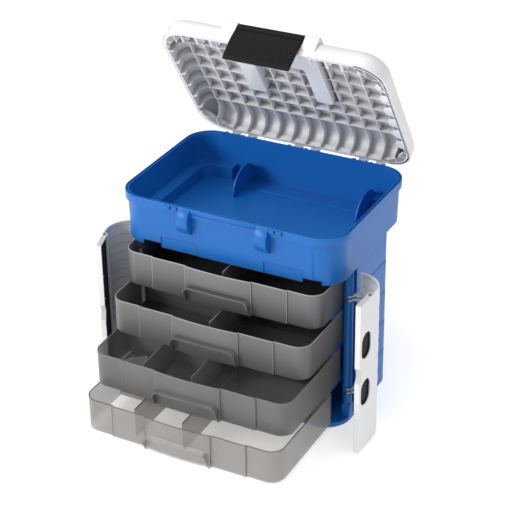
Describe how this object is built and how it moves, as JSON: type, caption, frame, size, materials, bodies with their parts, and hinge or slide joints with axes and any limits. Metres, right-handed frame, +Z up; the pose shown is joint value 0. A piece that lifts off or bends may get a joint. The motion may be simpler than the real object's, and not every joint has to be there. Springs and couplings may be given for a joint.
{
  "type": "fishing tackle cabinet",
  "caption": "Portable tackle cabinet: open top bin with a hinged ribbed lid, clasp and carry handle, clear divided drawers below, and two folding corner doors.",
  "frame": {"origin": "centre of the footprint, on the surface that the base rim stands on", "axes": "+Z up, the drawers and doors open towards -Y, +X to the right seen from the front"},
  "size_m": [0.4897, 0.5015, 0.6179],
  "materials": {
    "blue_plastic": "satin",
    "white_plastic": "satin",
    "pan_plastic": "satin",
    "grey_liner": "satin",
    "black_insert": "matte",
    "black_clasp": "matte, finely ribbed",
    "smoke_plastic": "clear smoked plastic, glossy",
    "seal_rubber": "matte",
    "steel_pin": "brushed"
  },
  "bodies": {
    "cabinet": {"upper_bin": "blue_plastic", "cabinet_shell": "blue_plastic", "base_tray": "blue_plastic", "hinge_post_left": "blue_plastic", "runner_left_1": "blue_plastic", "runner_left_2": "blue_plastic", "runner_left_3": "blue_plastic", "runner_left_4": "blue_plastic", "hinge_post_right": "blue_plastic", "runner_right_1": "blue_plastic", "runner_right_2": "blue_plastic", "runner_right_3": "blue_plastic", "runner_right_4": "blue_plastic", "lid_hinge_pin_1": "steel_pin", "lid_hinge_pin_2": "steel_pin", "lid_hinge_pin_3": "steel_pin"},
    "lid": {"lid_shell": "white_plastic", "lid_rib_grid": "pan_plastic", "lid_seal": "seal_rubber", "clasp_pin": "steel_pin", "handle_pivot_left": "steel_pin", "handle_pivot_right": "steel_pin"},
    "handle": {"carry_handle": "white_plastic"},
    "clasp": {"front_clasp": "black_clasp"},
    "right_door": {"door_shell_right": "white_plastic", "door_liner_right": "grey_liner", "door_insert_right": "black_insert"},
    "left_door": {"door_shell_left": "white_plastic", "door_liner_left": "grey_liner", "door_insert_left": "black_insert"},
    "drawer_1": {"drawer_tray_1": "smoke_plastic", "drawer_dividers_1": "smoke_plastic"},
    "drawer_2": {"drawer_tray_2": "smoke_plastic", "drawer_dividers_2": "smoke_plastic"},
    "drawer_3": {"drawer_tray_3": "smoke_plastic", "drawer_dividers_3": "smoke_plastic"},
    "drawer_4": {"drawer_tray_4": "smoke_plastic", "drawer_dividers_4": "smoke_plastic"}
  },
  "joints": [
    {"name": "lid_hinge", "type": "hinge", "parent": "cabinet", "child": "lid", "pos_m": [0, 0.1444, 0.3453], "axis": [-1, 0, 0], "range_deg": [-56.75, 50]},
    {"name": "handle_swing", "type": "hinge", "parent": "lid", "child": "handle", "pos_m": [0, 0.10588, 0.49032], "axis": [-1, 0, 0], "range_deg": [0, 95]},
    {"name": "clasp_swing", "type": "hinge", "parent": "lid", "child": "clasp", "pos_m": [0, 0.03304, 0.61236], "axis": [-1, 0, 0], "range_deg": [0, 100]},
    {"name": "right_door_hinge", "type": "hinge", "parent": "cabinet", "child": "right_door", "pos_m": [0.187, -0.071, 0], "axis": [0, 0, 1], "range_deg": [-33, 28]},
    {"name": "left_door_hinge", "type": "hinge", "parent": "cabinet", "child": "left_door", "pos_m": [-0.187, -0.071, 0], "axis": [0, 0, -1], "range_deg": [-17, 44]},
    {"name": "drawer_1_slide", "type": "slide", "parent": "cabinet", "child": "drawer_1", "axis": [0, -1, 0], "range_m": [-0.041, 0.143]},
    {"name": "drawer_2_slide", "type": "slide", "parent": "cabinet", "child": "drawer_2", "axis": [0, -1, 0], "range_m": [-0.088, 0.096]},
    {"name": "drawer_3_slide", "type": "slide", "parent": "cabinet", "child": "drawer_3", "axis": [0, -1, 0], "range_m": [-0.15, 0.034]},
    {"name": "drawer_4_slide", "type": "slide", "parent": "cabinet", "child": "drawer_4", "axis": [0, -1, 0], "range_m": [-0.184, 0]}
  ]
}
